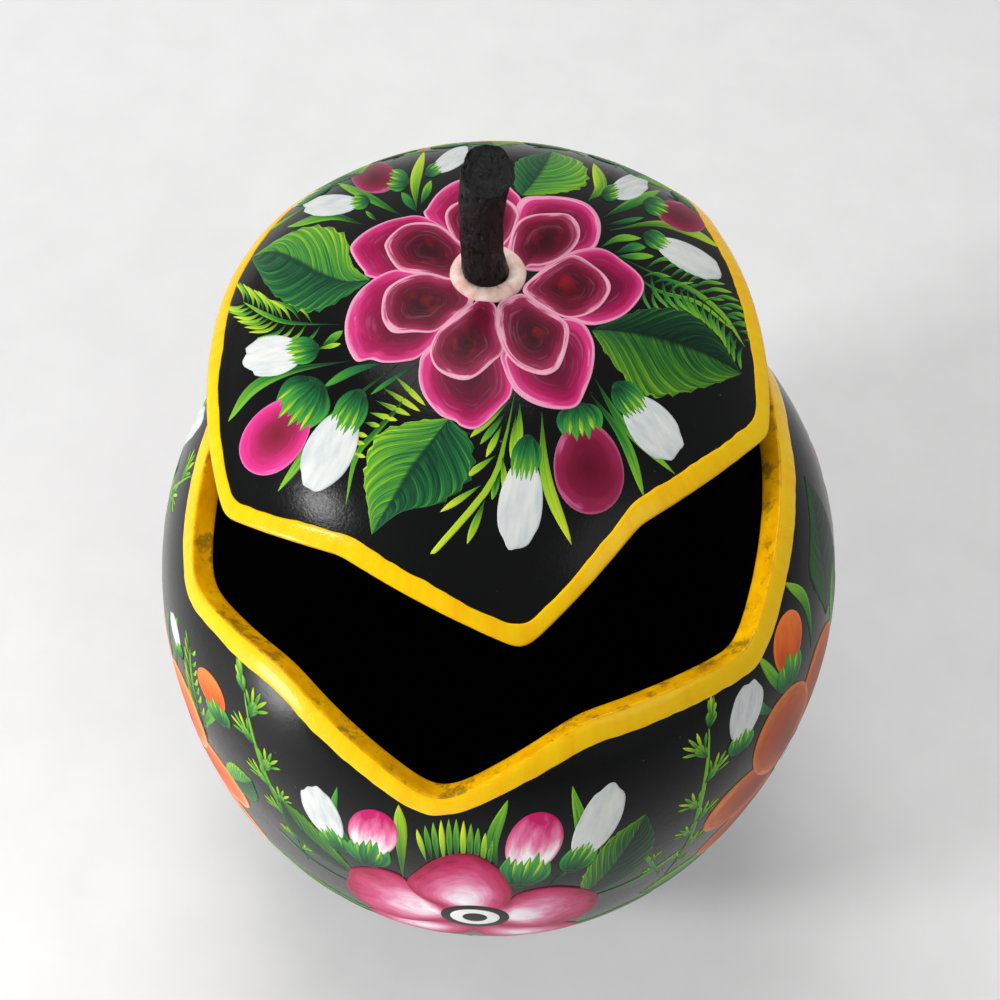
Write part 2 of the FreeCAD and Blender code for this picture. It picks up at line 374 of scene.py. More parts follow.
class Look:
    """A material's nodes, built step by step round one principled shader."""

    def __init__(self, name, roughness, specular, coat=0.0):
        self.material = bpy.data.materials.new(name)
        self.material.use_nodes = True
        self.tree = self.material.node_tree
        self.shader = self.tree.nodes["Principled BSDF"]
        for socket, value in (("Roughness", roughness), ("Specular IOR Level", specular), ("IOR", PAINT_IOR),
                              ("Coat Weight", coat), ("Coat Roughness", 0.1)):
            self.shader.inputs[socket].default_value = value

    def set(self, socket, value):
        """A socket's link, its colour from a code, or its number."""
        if hasattr(value, "is_linked"):
            self.tree.links.new(value, socket)
        else:
            socket.default_value = colour(value) if isinstance(value, str) else value

    def node(self, kind, inputs, **settings):
        """A new node with its settings and with what its inputs, by name or number, get."""
        made = self.tree.nodes.new(kind)
        for name, value in settings.items():
            setattr(made, name, value)
        for key, value in inputs.items():
            self.set(made.inputs[key], value)
        return made

    def marks(self, *names):
        """What the paint's points carry under these names."""
        return [self.node("ShaderNodeAttribute", {}, attribute_name=name).outputs["Fac"] for name in names]

    def place(self):
        return self.node("ShaderNodeTexCoord", {}).outputs["Object"]

    def math(self, operation, a, b=0.0):
        return self.node("ShaderNodeMath", {0: a, 1: b}, operation=operation).outputs[0]

    def times(self, a, b):
        return self.math("MULTIPLY", a, b)

    def plus(self, a, b):
        return self.math("ADD", a, b)

    def noise(self, where, scale, detail=3.0, roughness=0.55):
        inputs = {"Vector": where, "Scale": scale, "Detail": detail, "Roughness": roughness}
        return self.node("ShaderNodeTexNoise", inputs).outputs["Fac"]

    def noise_along(self, x, y, z, detail):
        """Noise over three values, so that each sets how fast the strokes change along it."""
        where = self.node("ShaderNodeCombineXYZ", {0: x, 1: y, 2: z}).outputs[0]
        return self.noise(where, 1.0, detail)

    def strokes(self, x, y, z=None, detail=4):
        """Brush strokes over two or three marks, each given with its rate, and different on each shape."""
        shift = self.times(self.marks("tint")[0], TINT_SHIFT)
        if z:
            shift = self.plus(self.times(*z), shift)
        return self.noise_along(self.times(*x), self.times(*y), shift, detail)

    def ramp(self, value, *stops):
        made = self.node("ShaderNodeValToRGB", {"Fac": value})
        elements = made.color_ramp.elements
        while len(elements) < len(stops):
            elements.new(0.5)
        for element, (position, shade) in zip(elements, stops):
            element.position = position
            element.color = colour(shade)
        return made.outputs["Color"]

    def blend(self, share, a, b):
        return self.node("ShaderNodeMix", {"Factor": share, 6: a, 7: b}, data_type="RGBA").outputs[2]

    def spread(self, value, low, high, to_low=0.0, to_high=1.0):
        """A value's stretch from low to high, stretched to run from to_low to to_high."""
        inputs = {"Value": value, "From Min": low, "From Max": high, "To Min": to_low, "To Max": to_high}
        return self.node("ShaderNodeMapRange", inputs).outputs["Result"]

    def done(self, base, height=None, bump=0.0, strength=0.6, roughness=None):
        """The finished material, with bumps of a depth in metres."""
        self.set(self.shader.inputs["Base Color"], base)
        if roughness is not None:
            self.set(self.shader.inputs["Roughness"], roughness)
        if height is not None:
            made = self.node("ShaderNodeBump", {"Strength": strength, "Distance": bump, "Height": height})
            self.set(self.shader.inputs["Normal"], made.outputs["Normal"])
        return self.material


def lacquer_look():
    """Black satin lacquer on gourd skin: a fine grain, faint clouds and a little dust."""
    look = Look("black_lacquer", 0.22, 0.22)
    where = look.place()
    grain = look.noise(where, 1500, 2)
    cloud = look.noise(where, 28, 4)
    mottle = look.noise(where, 210, 3)
    dust = look.spread(look.noise(where, 900, 1), 0.76, 0.84)
    base = look.blend(dust, look.ramp(cloud, (0.3, "030304"), (0.7, "08090A")), "4A4A4C")
    rough = look.plus(look.spread(cloud, 0.3, 0.7, 0.15, 0.21), look.spread(grain, 0.3, 0.7, 0.0, 0.06))
    height = look.plus(look.times(grain, 0.5), mottle)
    return look.done(base, height, 0.00012, 0.45, rough)


def inside_look():
    look = Look("black_inside", 0.85, 0.1)
    where = look.place()
    base = look.ramp(look.noise(where, 60, 4), (0.3, "020202"), (0.8, "080808"))
    return look.done(base, look.noise(where, 420, 4), 0.0002)


def petal_look(name, *stops, glow=None):
    """Brushed petals: colour by the distance from the outline, strokes that follow the outline."""
    look = Look(name, 0.36, 0.13)
    edge, along, across = look.marks("edge", "along", "across")
    stroke = look.strokes((edge, 12.0), (across, 6.0), (along, 2.2))
    wave = look.strokes((across, 2.2), (along, 2.2), detail=2)
    value = look.plus(edge, look.spread(stroke, 0.25, 0.75, -0.10, 0.10))
    value = look.plus(value, look.spread(wave, 0.3, 0.7, -0.10, 0.10))
    depth = look.spread(edge, 0.02, 0.10)
    value = look.plus(look.times(value, depth), look.times(edge, look.math("SUBTRACT", 1.0, depth)))
    base = look.ramp(value, *stops)
    streak = look.times(look.spread(stroke, 0.55, 0.75, 0.0, 0.2), look.spread(edge, 0.4, 0.85, 1.0, 0.15))
    base = look.blend(look.times(streak, depth), base, stops[1][1])
    if glow:
        patch = look.spread(look.strokes((across, 5.0), (along, 5.0), detail=2), 0.52, 0.66)
        base = look.blend(look.times(patch, look.spread(edge, 0.45, 0.7, 0.0, 0.35)), base, glow)
    return look.done(base, stroke, 0.00008)


def bud_look(name, tip, middle, foot):
    """Buds shaded from the foot in their calyx to the tip, with strokes along the outline."""
    look = Look(name, 0.34, 0.14)
    edge, along, across = look.marks("edge", "along", "across")
    stroke = look.strokes((edge, 1.5), (across, 14.0), (along, 2.0))
    value = look.plus(along, look.spread(stroke, 0.3, 0.7, -0.14, 0.14))
    base = look.ramp(value, (0.42, foot), (0.66, middle), (0.92, tip))
    base = look.blend(look.spread(edge, 0.0, 0.14, 0.8, 0.0), base, tip)
    return look.done(base, stroke, 0.00008)


def white_look():
    look = Look("white_paint", 0.42, 0.2)
    edge, along, across = look.marks("edge", "along", "across")
    brush = look.strokes((across, 14.0), (along, 3.0))
    base = look.ramp(brush, (0.30, "C4CDD0"), (0.50, "DADEDC"), (0.70, "E8E9E3"))
    base = look.blend(look.spread(edge, 0.0, 0.10, 0.35, 0.0), base, "AEB8B8")
    return look.done(base, brush, 0.0001)


def leaf_look(name, bright, light, dark, deep, veins=11.0):
    """Two-toned leaves: a light half and a dark half, veins that run out and forward from the midrib."""
    look = Look(name, 0.38, 0.2)
    along, across = look.marks("along", "across")
    out = look.math("ABSOLUTE", across)
    phase = look.math("SUBTRACT", look.times(along, veins), look.times(look.math("POWER", out, 1.25), 4.6))
    grain = look.strokes((phase, 7.0), (out, 1.6))
    ridge = look.math("POWER", look.math("FRACT", phase), 3.0)
    value = look.plus(look.times(ridge, look.spread(out, 0.1, 0.9, 0.3, 0.5)),
                      look.spread(grain, 0.3, 0.7, -0.15, 0.45))
    value = look.plus(value, look.spread(out, 0.3, 1.0, 0.0, 0.35))
    side_a = look.ramp(value, (0.05, dark), (0.45, light), (0.95, bright))
    side_b = look.ramp(value, (0.10, deep), (0.55, dark), (1.0, light))
    base = look.blend(look.spread(across, -0.03, 0.03), side_a, side_b)
    rib = look.times(look.spread(out, 0.02, 0.09, 1.0, 0.0), look.spread(along, 0.9, 1.0, 0.9, 0.5))
    return look.done(look.blend(rib, base, deep), look.plus(ridge, grain), 0.00008)


def stroke_look(name, foot, middle, tip, shine):
    """Long brush strokes: dark where they start, brighter to the tip, with a lighter flank."""
    look = Look(name, 0.38, 0.2)
    along, across, tint = look.marks("along", "across", "tint")
    hair = look.strokes((across, 5.0), (along, 2.0), detail=3)
    value = look.plus(along, look.spread(hair, 0.3, 0.7, -0.18, 0.18))
    value = look.plus(value, look.times(look.math("SUBTRACT", tint, 0.5), 0.3))
    base = look.ramp(value, (0.05, foot), (0.5, middle), (0.95, tip))
    flank = look.times(look.spread(across, 0.1, 0.8, 0.0, 0.75), look.spread(along, 0.1, 0.6))
    return look.done(look.blend(flank, base, shine), hair, 0.00006)


def plain_paint_look(name, main, other, rough=0.4):
    look = Look(name, rough, 0.1)
    where = look.place()
    base = look.ramp(look.noise(where, 260, 4), (0.35, main), (0.75, other))
    return look.done(base, look.noise(where, 700, 3), 0.00008)


def enamel_look():
    """Thick yellow enamel: brush ridges, orange where it is thin on the sawn face, dirt rubbed into it."""
    look = Look("yellow_enamel", 0.3, 0.2, coat=0.12)
    face, turn = look.marks("face", "round")
    where = look.place()
    brush = look.noise_along(look.times(turn, 60.0), look.times(face, 7.0), 0.0, 4)
    shade = look.plus(look.times(brush, 0.6), look.times(look.noise(where, 45, 3), 0.4))
    thick = look.ramp(shade, (0.32, "FFB800"), (0.50, "FFCA00"), (0.72, "FFD80A"))
    thin = look.ramp(look.noise(where, 190, 4), (0.35, "D48C06"), (0.5, "F0AA04"), (0.68, "FFC406"))
    base = look.blend(look.times(look.spread(face, 0.35, 0.6), 0.75), thick, thin)
    dirt = look.times(look.spread(look.noise(where, 150, 5, 0.7), 0.53, 0.62), look.spread(face, 0.42, 0.7))
    base = look.blend(look.times(dirt, 0.7), base, "6B5A1A")
    fleck = look.spread(look.noise(where, 620, 3), 0.66, 0.74)
    base = look.blend(look.times(fleck, look.spread(face, 0.3, 0.6, 0.1, 0.6)), base, "8A6A14")
    height = look.plus(look.noise(where, 240, 4), look.times(brush, 0.7))
    rough = look.spread(look.noise(where, 120, 3), 0.3, 0.7, 0.2, 0.36)
    return look.done(base, height, 0.00035, 0.55, rough)


def stem_look():
    look = Look("blackened_stem", 0.4, 0.42)
    where = look.place()
    bark = look.noise(where, 520, 6, 0.7)
    worn = look.spread(look.noise(where, 900, 4, 0.7), 0.62, 0.78)
    base = look.blend(look.times(worn, 0.4), look.ramp(bark, (0.35, "020203"), (0.7, "0A0A0C")), "5A5A5A")
    rough = look.spread(look.noise(where, 260, 3), 0.4, 0.6, 0.12, 0.4)
    return look.done(base, bark, 0.0008, 0.9, rough)


def collar_look():
    look = Look("cream_collar", 0.5, 0.2)
    where = look.place()
    base = look.ramp(look.noise(where, 230, 5, 0.65), (0.3, "EAB6A6"), (0.45, "FAD6C8"), (0.58, "FFE8DE"),
                     (0.75, "FFF8F2"))
    return look.done(base, look.noise(where, 480, 4), 0.00025)


# The black shells, as grids of rings from the pole to just under the band

COLUMNS = 480
SHELL_ROWS = {"bowl": 190, "lid": 100}
POLE = {"bowl": math.pi, "lid": 0.0}
UNDER_BAND = 0.005
BASE_LIFT = 0.02


def shell(body, outside, inside):
    azimuths = np.linspace(0, ROUND, COLUMNS, endpoint=False)
    edge = cut_polar(azimuths, body) + INTO[body] * UNDER_BAND
    rows = SHELL_ROWS[body]
    skins = (("outside", outside, 0.0, body + "_shell"), ("inside", inside, WALL, None))
    for skin, material, depth, node in skins:
        rings = [on_skin(direction(azimuths, POLE[body] + (edge - POLE[body]) * share), -depth)
                 for share in np.linspace(0.0, 1.0, rows)]
        points = np.concatenate(rings)
        points[:, 2] = np.maximum(points[:, 2], -STAND + BASE_LIFT + depth)
        order = RINGS_UP if (body == "bowl") == (skin == "outside") else RINGS_DOWN
        faces = ring_faces(rows, COLUMNS, order)
        made_piece(body + "_skin_" + skin, points, faces, material, body, node=node)


# The thick yellow paint over the sawn faces. Its section is written as places, each by how far out from
# the skin and how far back from the sawn edge it is, in millimetres, but back in shares of the stripe's
# width where it lies over the skin.

STRIPE_SECTION = [(-0.15, 1.0), (0.1, 0.99), (0.24, 0.93), (0.31, 0.8), (0.34, 0.6), (0.35, 0.4),
                  (0.33, 0.2), (0.24, 0.03)]
FACE_SECTION = [(0.06, -0.3), (-0.25, -0.41), (-0.8, -0.44), (-1.6, -0.42), (-2.5, -0.43),
                (-3.4, -0.42), (-4.2, -0.43), (-4.9, -0.36), (-5.25, -0.12), (-5.38, 0.35),
                (-5.34, 0.9), (-5.1, 1.2), (-4.6, 1.1), (-2.5, 0.7), (-0.9, 1.6)]
BAND_COLUMNS = 1440
UNSTEADY = 0.55
SHORT_UNSTEADY = 0.22
SWELL = 0.10


def band(body, material):
    """A closed bead swept round the zigzag, its lower border a little unsteady as a brush leaves it."""
    into = INTO[body]
    azimuths = np.linspace(0, ROUND, BAND_COLUMNS, endpoint=False)
    edge = cut_polar(azimuths, body)
    spots = [(math.sin(a), math.cos(a)) for a in azimuths]
    unsteady = np.array([noise.noise((6 * x, 6 * y, 3.0 * into)) * UNSTEADY
                         + noise.noise((22 * x, 22 * y, 9.0)) * SHORT_UNSTEADY for x, y in spots])
    swell = SWELL * np.array([noise.noise((11 * x, 11 * y, 17.0 * into)) for x, y in spots])
    section = [(back * STRIPE[body] + unsteady * (back > 0.5), out + (swell - SWELL / 2) * (out > 0.1))
               for out, back in STRIPE_SECTION]
    section += [(back + swell / 2 * (back < 0 and -4.6 < out < -0.2), out) for out, back in FACE_SECTION]
    rings = [on_skin(direction(azimuths, edge + into * back / EQUATOR), out) for back, out in section]
    on_face = [0.0] * len(STRIPE_SECTION) + [1.0] * len(FACE_SECTION)
    marks = {"face": np.repeat(on_face, BAND_COLUMNS),
             "round": np.tile(np.abs(azimuths / math.pi - 1), len(rings))}
    faces = ring_faces(len(rings), BAND_COLUMNS, AS_DRAWN if body == "bowl" else BACKWARDS, closed=True)
    node = body + "_rim_band"
    made_piece(node + "_enamel", np.concatenate(rings), faces, material, body, marks, node)


# The stem, in millimetres about the gourd's middle, and the painted ring round its foot

STEM_LEFT = 2.2
STEM_BEND = 1.6
STEM_LENGTH = 33.0
STEM_ROOT = 4.0
STEM_SHARES = [0.0, 0.12, 0.3, 0.55, 0.78, 0.9, 1.0]
STEM_DIAMETERS = [11.4, 10.7, 9.7, 9.7, 10.6, 11.1, 11.0]
STEM_SLOPE = math.radians(24)
STEM_ROWS, STEM_COLUMNS = 120, 120
GNARL_DEPTH = 0.22
PIT_DEPTH = 0.8
HEAD_SINKS = 0.65
SMOOTHED = 7
HEAD_RINGS = np.linspace(0.94, 0.0, 16)
COLLAR_OUTER = 8.6
COLLAR_INNER = 4.2
COLLAR_HEIGHT = 2.2
COLLAR_ROWS, COLLAR_COLUMNS = 22, 160


def stem_cut(points, depth, rate, level):
    """Heights of the stem's slanted, roughly cut head over points."""
    slope = (points[:, 1] - STEM_DIAMETERS[-1] / 2) * math.tan(STEM_SLOPE)
    rough = [noise.fractal(Vector((x * rate, y * rate, level)), 0.8, 2.0, 4) for x, y, _ in points]
    return CROWN_RISE + STEM_LENGTH - HEAD_SINKS + slope + depth * np.clip(rough, -1, 1)


def stem(material):
    """A ribbed, gnarled stem with a rough cut head that falls towards the front."""
    points = []
    for s in np.linspace(0, 1.06, STEM_ROWS):
        radius = np.interp(s, STEM_SHARES, STEM_DIAMETERS) / 2 - 0.05
        z = CROWN_RISE - STEM_ROOT + s * (STEM_LENGTH + STEM_ROOT)
        left = STEM_LEFT + STEM_BEND * math.sin(math.pi * min(s, 1))
        for t in np.linspace(0, ROUND, STEM_COLUMNS, endpoint=False):
            rib = 0.14 * (math.cos(5 * t + 1.4 * s + 0.6) - 1) + 0.05 * (math.cos(9 * t - 2.0 * s) - 1)
            place = Vector((math.cos(t) * 1.6, math.sin(t) * 1.6, s * 4.2))
            gnarl = GNARL_DEPTH * noise.fractal(place * 1.4, 0.8, 2.1, 5)
            pit = PIT_DEPTH * max(0.0, noise.noise(place * 4.5) - 0.12)
            rho = radius + rib + gnarl - pit
            points.append((rho * math.cos(t) - left, rho * math.sin(t), z))
    points = np.array(points)
    points[:, 2] = np.minimum(points[:, 2], stem_cut(points, 0.25, 0.5, 4.0))
    rings = [points]
    turned = [np.roll(points[-STEM_COLUMNS:], k, axis=0) for k in range(-SMOOTHED, SMOOTHED + 1)]
    last = sum(turned) / len(turned)
    middle = last.mean(axis=0)
    spokes = last - middle
    lengths = np.linalg.norm(spokes, axis=1, keepdims=True)
    even = spokes * lengths.mean() / lengths
    for shrink in HEAD_RINGS:
        ring = middle + (spokes * shrink + even * (1 - shrink)) * shrink
        ring[:, 2] = stem_cut(ring, 0.45, 0.9, 1.0) - 0.30 - 0.4 * (shrink < 0.7)
        rings.append(ring)
    faces = ring_faces(STEM_ROWS + len(HEAD_RINGS), STEM_COLUMNS, RINGS_UP)
    made_piece("stem_gnarled", np.concatenate(rings), faces, material, "lid", node="stem")


def collar(material):
    """The raised ring of pale paint, lumpy and not quite round."""
    middle, half = (COLLAR_INNER + COLLAR_OUTER) / 2, (COLLAR_OUTER - COLLAR_INNER) / 2
    seat = float(reach(np.arctan2(STEM_LEFT, CROWN_RISE))) - 0.45
    points = []
    for t in np.linspace(-0.35, math.pi + 0.35, COLLAR_ROWS):
        for a in np.linspace(0, ROUND, COLLAR_COLUMNS, endpoint=False):
            x, y = math.cos(a), math.sin(a)
            lump = noise.noise((3.2 * x, 3.2 * y, 0.5 * t)) * 0.5 + noise.noise((9 * x, 9 * y, 2 * t)) * 0.22
            rho = middle + half * math.cos(t) * (0.95 + 0.09 * (lump - 0.35))
            z = seat + COLLAR_HEIGHT * math.sin(t) * (0.86 + 0.28 * (lump - 0.2))
            points.append((rho * x - STEM_LEFT, rho * y, z))
    faces = ring_faces(COLLAR_ROWS, COLLAR_COLUMNS, RINGS_DOWN)
    made_piece("stem_collar_paint", np.array(points), faces, material, "lid",
               node="stem_collar")


LACQUER = lacquer_look()
INSIDE = inside_look()
ENAMEL = enamel_look()
for half in ("bowl", "lid"):
    shell(half, LACQUER, INSIDE)
for half in ("bowl", "lid"):
    band(half, ENAMEL)
stem(stem_look())
collar(collar_look())

# The painter's colours

DARK_PETAL = petal_look("dark_petals", (0.0, "F0A8C4"), (0.03, "EE9FBF"), (0.08, "E0408A"), (0.26, "A81A54"),
                        (0.55, "701236"), (1.0, "420C20"))
ROSE_PETAL = petal_look("rose_petals", (0.0, "F3B3C8"), (0.05, "F0A4BE"), (0.11, "A42E58"), (0.32, "701230"),
                        (0.62, "4C0C20"), (1.0, "300812"), glow="C8102A")
BODY_PETAL = petal_look("bright_petals", (0.0, "941840"), (0.12, "B82456"), (0.33, "D04A7C"),
                        (0.54, "E88CB0"), (0.8, "FBE4EE"), (1.0, "FFFFFF"))
# A darker copy of the orange petals for the flower on the right side: painted shade where less light falls
SHADE_DARKENED_PETAL = petal_look("shade_darkened_orange_petals", (0.0, "E08A50"), (0.07, "CC6A2C"), (0.25, "B85018"), (0.6, "9C3C10"),
                         (1.0, "7C2A0A"))
ORANGE_PETAL = petal_look("orange_petals", (0.0, "FFB27A"), (0.07, "FC8E48"), (0.25, "EC661E"),
                          (0.6, "CC4C12"), (1.0, "A0340A"))
PINK_BUD = petal_look("pink_bud", (0.0, "F27BB8"), (0.06, "E63C92"), (0.3, "C42E70"), (0.55, "98264A"),
                      (1.0, "7A2034"))
MAROON_BUD = petal_look("maroon_buds", (0.0, "C0608A"), (0.07, "9A2850"), (0.35, "7A1A38"), (1.0, "54101F"))
SHADED_BUD = bud_look("shaded_pink_buds", "C82068", "EC7CA8", "FFF6F8")
ORANGE_BUD = bud_look("orange_buds", "F8843A", "EE6A22", "D2521A")
WHITE = white_look()
LEAF = leaf_look("two_toned_leaves", "B4DC24", "5AA230", "226A38", "0E3826")
DARK_LEAF = leaf_look("dark_leaves", "84AC2A", "3A7A22", "104026", "061E14")
SHADED_LEAF = leaf_look("shaded_leaves", "31602C", "224C26", "16331F", "0A1A12", veins=8.0)
STROKES = {"blade": stroke_look("green_strokes", "0C3318", "2F7C2C", "86BE30", "74BE34"),
           "teal": stroke_look("dark_strokes", "0A2A1C", "1C6038", "4C9E34", "2F8038"),
           "lime": stroke_look("lime_strokes", "2A661E", "7EB62A", "CFE038", "BCD830"),
           "yellow": stroke_look("yellow_strokes", "2A6A1E", "84B42A", "D4DC3C", "C4D83A")}
CALYX = stroke_look("calyx_green", "0B3A20", "1E6E3A", "4FA23A", "57B044")
WHITE_RING = plain_paint_look("eye_white", "F2F2EE", "FFFFFF")
BLACK_RING = plain_paint_look("eye_black", "060606", "101010", 0.3)

# Heights of the coats over the skin, in millimetres: strokes lie under leaves and buds, calyces over
# them, and each petal laps the one before
LOW, MID, HIGH = 0.08, 0.13, 0.19
STROKE_LAP = 0.03
PETAL_LAP = 0.02
EYE_LAP = 0.025
LINE_STEPS = 60
BUD_STEPS = 22
RAGGEDNESS = 0.035
PALM_LEAN = 0.6
FINGER_LEANS = (-0.05, 0.28, 0.6, 0.92, 1.25)


def along_spine(spine, count, start, stretch):
    """Places along a spine, with their number and share of it, the way ahead, and the way to one side
    and the other in turn."""
    line = through(spine, LINE_STEPS)
    for n in range(count):
        share = start + stretch * n / (count - 1)
        k = min(int(share * (LINE_STEPS - 1)), LINE_STEPS - 2)
        ahead = line[k + 1] - line[k]
        ahead /= np.linalg.norm(ahead)
        beside = np.array([-ahead[1], ahead[0]]) * (1 if n % 2 else -1)
        yield n, share, line[k], ahead, beside


class Painting:
    """One side's coats, one for each colour and height, built at the end as pieces."""

    def __init__(self, name, body, seed, lay=None):
        self.name, self.body, self.seed, self.lay = name, body, seed, lay
        self.coats = {}

    def coat(self, kind, material):
        """The coat of a kind, made when it is first asked for, and painted on where the painting lies now."""
        if kind not in self.coats:
            self.coats[kind] = Coat(self.body, material, self.seed + len(self.coats))
        self.coats[kind].lay = self.lay
        return self.coats[kind]

    def finish(self):
        for kind, coat in self.coats.items():
            coat.build(self.name + "_" + kind)

    # The shapes that the painter repeats

    def petals(self, kind, material, shapes, middle, lift, count):
        """Petals round a middle, each a pair of its outline and its focus."""
        for n, (outline, focus) in enumerate(shapes):
            tip = 2 * np.array(focus) - middle
            self.coat(kind, material).blob(outline, focus, middle, tip, lift + PETAL_LAP * n, 12, count)

    def eye(self, ovals, lift, count):
        """A flower's black eye with its white ring, from the outermost oval to the innermost."""
        circle = [(math.cos(t), math.sin(t)) for t in np.linspace(0, ROUND, 16, endpoint=False)]
        for n, (wide, tall) in enumerate(ovals):
            kind, look = ("eye_white", WHITE_RING) if n % 2 else ("eye_black", BLACK_RING)
            oval = [(wide * x, tall * y) for x, y in circle]
            self.coat(kind, look).blob(oval, (0, 0), (0, -1), (0, 1), lift + EYE_LAP * n, 5, count, EYE_THICK)

    def bud(self, foot, tip, width, calyx, spikes, material, kind, cup, ragged=False):
        """A bud held in a calyx of pointed green strokes."""
        foot, tip = np.array(foot, float), np.array(tip, float)
        axis = tip - foot
        ahead = axis / np.linalg.norm(axis)
        side = np.array([-ahead[1], ahead[0]])
        rng = np.random.default_rng(int(abs(foot[0] * 7 + foot[1] * 13 + tip[0] * 3)) + self.seed)
        start = calyx * 0.55
        outline = []
        for k in range(BUD_STEPS):
            t = ROUND * k / BUD_STEPS
            along = start + (1 - start) * (0.5 - 0.5 * math.cos(t))
            across = math.sin(t) * (0.84 + 0.22 * along)
            at_tip = 0.36 < k / BUD_STEPS < 0.64
            jag = 1 + rng.uniform(-RAGGEDNESS, RAGGEDNESS) if ragged and at_tip else 1.0
            outline.append(foot + axis * along * jag + side * width / 2 * across)
        self.coat(kind, material).blob(outline, foot + axis * (0.5 + start / 2), foot, tip, MID, 9, 44)
        outline = [foot + axis * calyx * 0.315 * (1 - math.cos(t)) + side * width * cup * math.sin(t)
                   for t in np.linspace(0, ROUND, 12, endpoint=False)]
        focus = foot + axis * calyx * 0.35
        self.coat("calyx", CALYX).blob(outline, focus, foot, foot + axis * calyx, HIGH - 0.02, 5, 30)
        for n, f in enumerate(np.linspace(-1, 1, spikes + 2)):
            spread = side * f * width * (cup + 0.06)
            long = axis * calyx * (1.15 - 0.22 * abs(f)) * rng.uniform(0.86, 1.12)
            root = foot + axis * calyx * 0.08 + side * f * width * 0.12
            spine = [root, foot + long * 0.5 + spread * 0.95, foot + long + spread]
            self.coat("calyx", CALYX).stroke(spine, width * (0.06 + cup * 0.5), HIGH + 0.003 * n, 0.4, 12)
            if n % 2:
                spine = [foot + long * 0.35 + spread * 0.7, foot + long * 0.96 + spread * 0.97]
                light = self.coat("calyx_light", STROKES["lime"])
                light.stroke(spine, width * 0.055, HIGH + 0.045, rows=9, columns=3)

    def leaf(self, material, foot, tip, rib, side_a, side_b, kind="leaves"):
        """A leaf from its foot and tip, and the places between them on its midrib and its two sides."""
        self.coat(kind, material).leaf(*([foot, *between, tip] for between in (rib, side_a, side_b)), MID)

    def blade(self, spine, width, kind):
        lift = LOW if kind == "teal" else LOW + STROKE_LAP
        self.coat("strokes_" + kind, STROKES[kind]).stroke(spine, width, lift)

    def blades(self, strokes):
        for spine, width, kind in strokes:
            self.blade(spine, width, kind)

    def sprig(self, spine, width, count, size, kind, slant, needle):
        """A thin stalk with short strokes to both sides."""
        self.blade(spine, width, "blade")
        for n, share, place, ahead, side in along_spine(spine, count, 0.15, 0.85):
            length = size * (1.15 - 0.5 * share)
            bow = place + (ahead * slant * 0.35 + side * 0.5) * length
            end = place + (ahead * slant + side * 0.8) * length
            self.blade([place, bow, end], size * needle, kind if n % 3 else "blade")

    def tall_sprig(self, spine, count, size):
        """A stalk with tufts: each tuft is a broad palm with five thin fingers."""
        self.blade(spine, 1.3, "blade")
        for n, share, place, ahead, beside in along_spine(spine, count, 0.12, 0.86):
            long = size * (0.5 + 0.5 * share)
            if n == count - 1:
                beside = beside * 0.3
            palm = (ahead * math.cos(PALM_LEAN) + beside * math.sin(PALM_LEAN)) * long
            self.blade([place, place + palm * 0.35, place + palm * 0.72], long * 0.34, "blade")
            for m, lean in enumerate(FINGER_LEANS):
                heading = (ahead * math.cos(lean) + beside * math.sin(lean)) * long
                start = place + palm * (0.22 + 0.06 * (m % 2)) + heading * 0.05
                far = start + heading * (0.88 - 0.3 * abs(lean - PALM_LEAN))
                finger = [start, (start + far) / 2 + palm * 0.04, far]
                self.blade(finger, long * 0.105, ("blade", "lime")[m % 2])


# The lid's painting. Places are pixels of the picture.

FLOWER_MIDDLE = (490, 285)
OUTER = [
    ([(424, 214), (427, 207), (436, 194), (448, 184), (462, 178), (480, 174), (500, 178), (513, 189),
     (522, 202), (518, 235), (495, 262), (460, 262), (440, 235)], (480, 215)),
    ([(423, 216), (400, 217), (380, 223), (362, 233), (350, 246), (354, 258), (363, 270), (372, 277),
     (430, 285), (480, 270), (455, 235)], (430, 250)),
    ([(522, 198), (545, 195), (570, 197), (586, 202), (596, 211), (601, 223), (600, 237), (594, 248),
     (578, 256), (545, 270), (515, 262), (513, 220)], (565, 228)),
    ([(410, 271), (388, 271), (366, 284), (352, 300), (345, 320), (345, 338), (350, 353), (357, 361),
     (370, 359), (383, 362), (403, 361), (421, 355), (450, 325), (470, 290)], (420, 315)),
    ([(592, 247), (608, 250), (623, 260), (637, 271), (644, 281), (643, 293), (633, 307), (620, 317),
     (603, 323), (588, 324), (570, 318), (535, 298), (540, 270), (570, 252)], (600, 285)),
    ([(424, 352), (419, 366), (419, 382), (425, 398), (440, 415), (455, 421), (461, 426), (473, 429),
     (484, 424), (500, 408), (512, 392), (510, 360), (490, 320), (455, 325)], (470, 375)),
    ([(501, 352), (503, 368), (512, 387), (527, 400), (545, 407), (565, 409), (578, 405), (586, 390),
     (593, 370), (595, 350), (592, 336), (582, 322), (560, 318), (520, 325)], (550, 365))]
